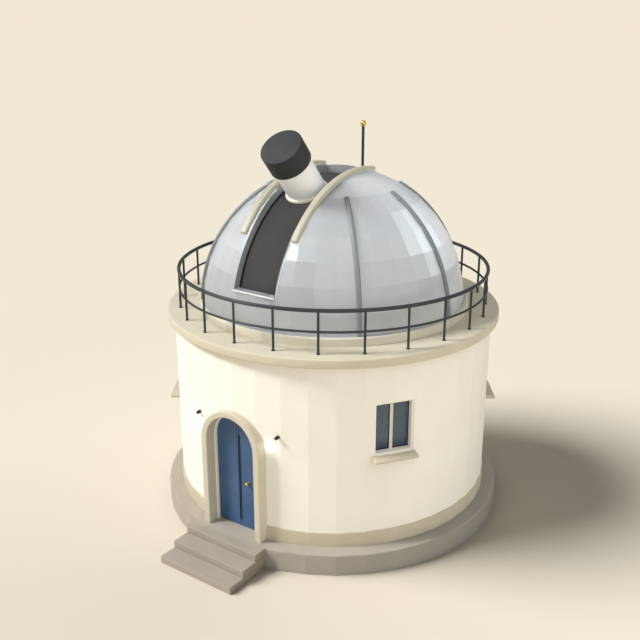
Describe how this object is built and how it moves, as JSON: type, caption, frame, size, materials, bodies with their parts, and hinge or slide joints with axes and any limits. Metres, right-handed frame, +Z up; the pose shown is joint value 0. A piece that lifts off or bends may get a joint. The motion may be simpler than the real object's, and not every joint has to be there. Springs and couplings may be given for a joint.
{
  "type": "astronomical observatory with a turning dome",
  "caption": "Round plastered observatory on a stone plinth, with an arched double door, windows, a railed gallery, a turning faceted dome and a telescope that looks out of its slit.",
  "frame": {"origin": "centre of the plinth's underside, on the ground below the dome's turning axis", "axes": "+Z up, the door and its steps face -Y, +X to the right as seen when facing the door from outside"},
  "size_m": [7.87, 8.878, 8.712],
  "materials": {
    "stone": "matte",
    "plaster": "matte",
    "trim": "matte",
    "concrete": "matte",
    "window_wood": "satin",
    "frame_wood": "satin",
    "blue_paint": "satin",
    "dark_metal": "satin",
    "lamp_metal": "satin",
    "black_paint": "matte",
    "white_paint": "satin",
    "brass": "satin",
    "dome_metal": "satin",
    "rib_metal": "satin",
    "cream_metal": "satin",
    "fork_metal": "satin",
    "dark_canvas": "matte",
    "cap_plastic": "matte"
  },
  "bodies": {
    "building": {"plinth": "stone", "step_lower": "stone", "step_middle": "stone", "step_top": "stone", "wall_over_door": "plaster", "wall_front_left": "plaster", "wall_front_right": "plaster", "wall_bay_front_left": "plaster", "wall_bay_front_right": "plaster", "wall_bay_rear_left": "plaster", "wall_bay_rear_right": "plaster", "wall_side_left": "plaster", "wall_side_right": "plaster", "wall_rear": "plaster", "base_band": "trim", "door_surround": "trim", "door_frame": "frame_wood", "wall_lamp_left": "lamp_metal", "wall_lamp_right": "lamp_metal", "window_front_left": "window_wood", "window_front_right": "window_wood", "window_rear_left": "window_wood", "window_rear_right": "window_wood", "window_sill_front_left": "trim", "window_sill_front_right": "trim", "window_sill_rear_left": "trim", "window_sill_rear_right": "trim", "gallery_slab": "trim", "dome_curb": "trim", "railing_panel_1": "dark_metal", "railing_panel_2": "dark_metal", "railing_panel_3": "dark_metal", "railing_panel_4": "dark_metal", "railing_panel_5": "dark_metal", "railing_panel_6": "dark_metal", "telescope_pier": "concrete"},
    "dome": {"dome_frame": "rib_metal", "shell_front_left": "dome_metal", "shell_front_right": "dome_metal", "shell_rear_left": "dome_metal", "shell_rear_right": "dome_metal", "slit_coaming": "rib_metal", "shutter_rail_left": "cream_metal", "shutter_rail_right": "cream_metal", "lightning_rod": "dark_metal"},
    "windscreen": {"windscreen": "dark_canvas"},
    "fork": {"telescope_fork": "fork_metal"},
    "telescope": {"telescope_tube": "white_paint", "telescope_cap": "cap_plastic"},
    "door_left": {"door_leaf_left": "blue_paint", "meeting_strip_left": "black_paint"},
    "door_right": {"door_leaf_right": "blue_paint", "meeting_strip_right": "black_paint", "door_knob": "brass"}
  },
  "joints": [
    {"name": "dome_rotation", "type": "hinge", "parent": "building", "child": "dome", "pos_m": [0, 0, 4.882], "axis": [0, 0, 1], "continuous": true},
    {"name": "windscreen_travel", "type": "hinge", "parent": "dome", "child": "windscreen", "pos_m": [0, 0, 4.812], "axis": [-1, 0, 0], "range_deg": [-17.7, 21.4]},
    {"name": "telescope_azimuth", "type": "hinge", "parent": "building", "child": "fork", "pos_m": [0, 0, 4.4], "axis": [0, 0, 1], "continuous": true},
    {"name": "telescope_altitude", "type": "hinge", "parent": "fork", "child": "telescope", "pos_m": [0, 0, 6.243], "axis": [-1, 0, 0], "range_deg": [-29.4, 35.6]},
    {"name": "door_left_hinge", "type": "hinge", "parent": "building", "child": "door_left", "pos_m": [-0.656, -3.3665, 1.6], "axis": [0, 0, 1], "range_deg": [0, 90]},
    {"name": "door_right_hinge", "type": "hinge", "parent": "building", "child": "door_right", "pos_m": [0.656, -3.3665, 1.6], "axis": [0, 0, -1], "range_deg": [0, 90]}
  ],
  "couplings": [
    {"joint": "telescope_azimuth", "follows": "dome_rotation", "ratio": 1},
    {"joint": "windscreen_travel", "follows": "telescope_altitude", "ratio": 0.6}
  ]
}
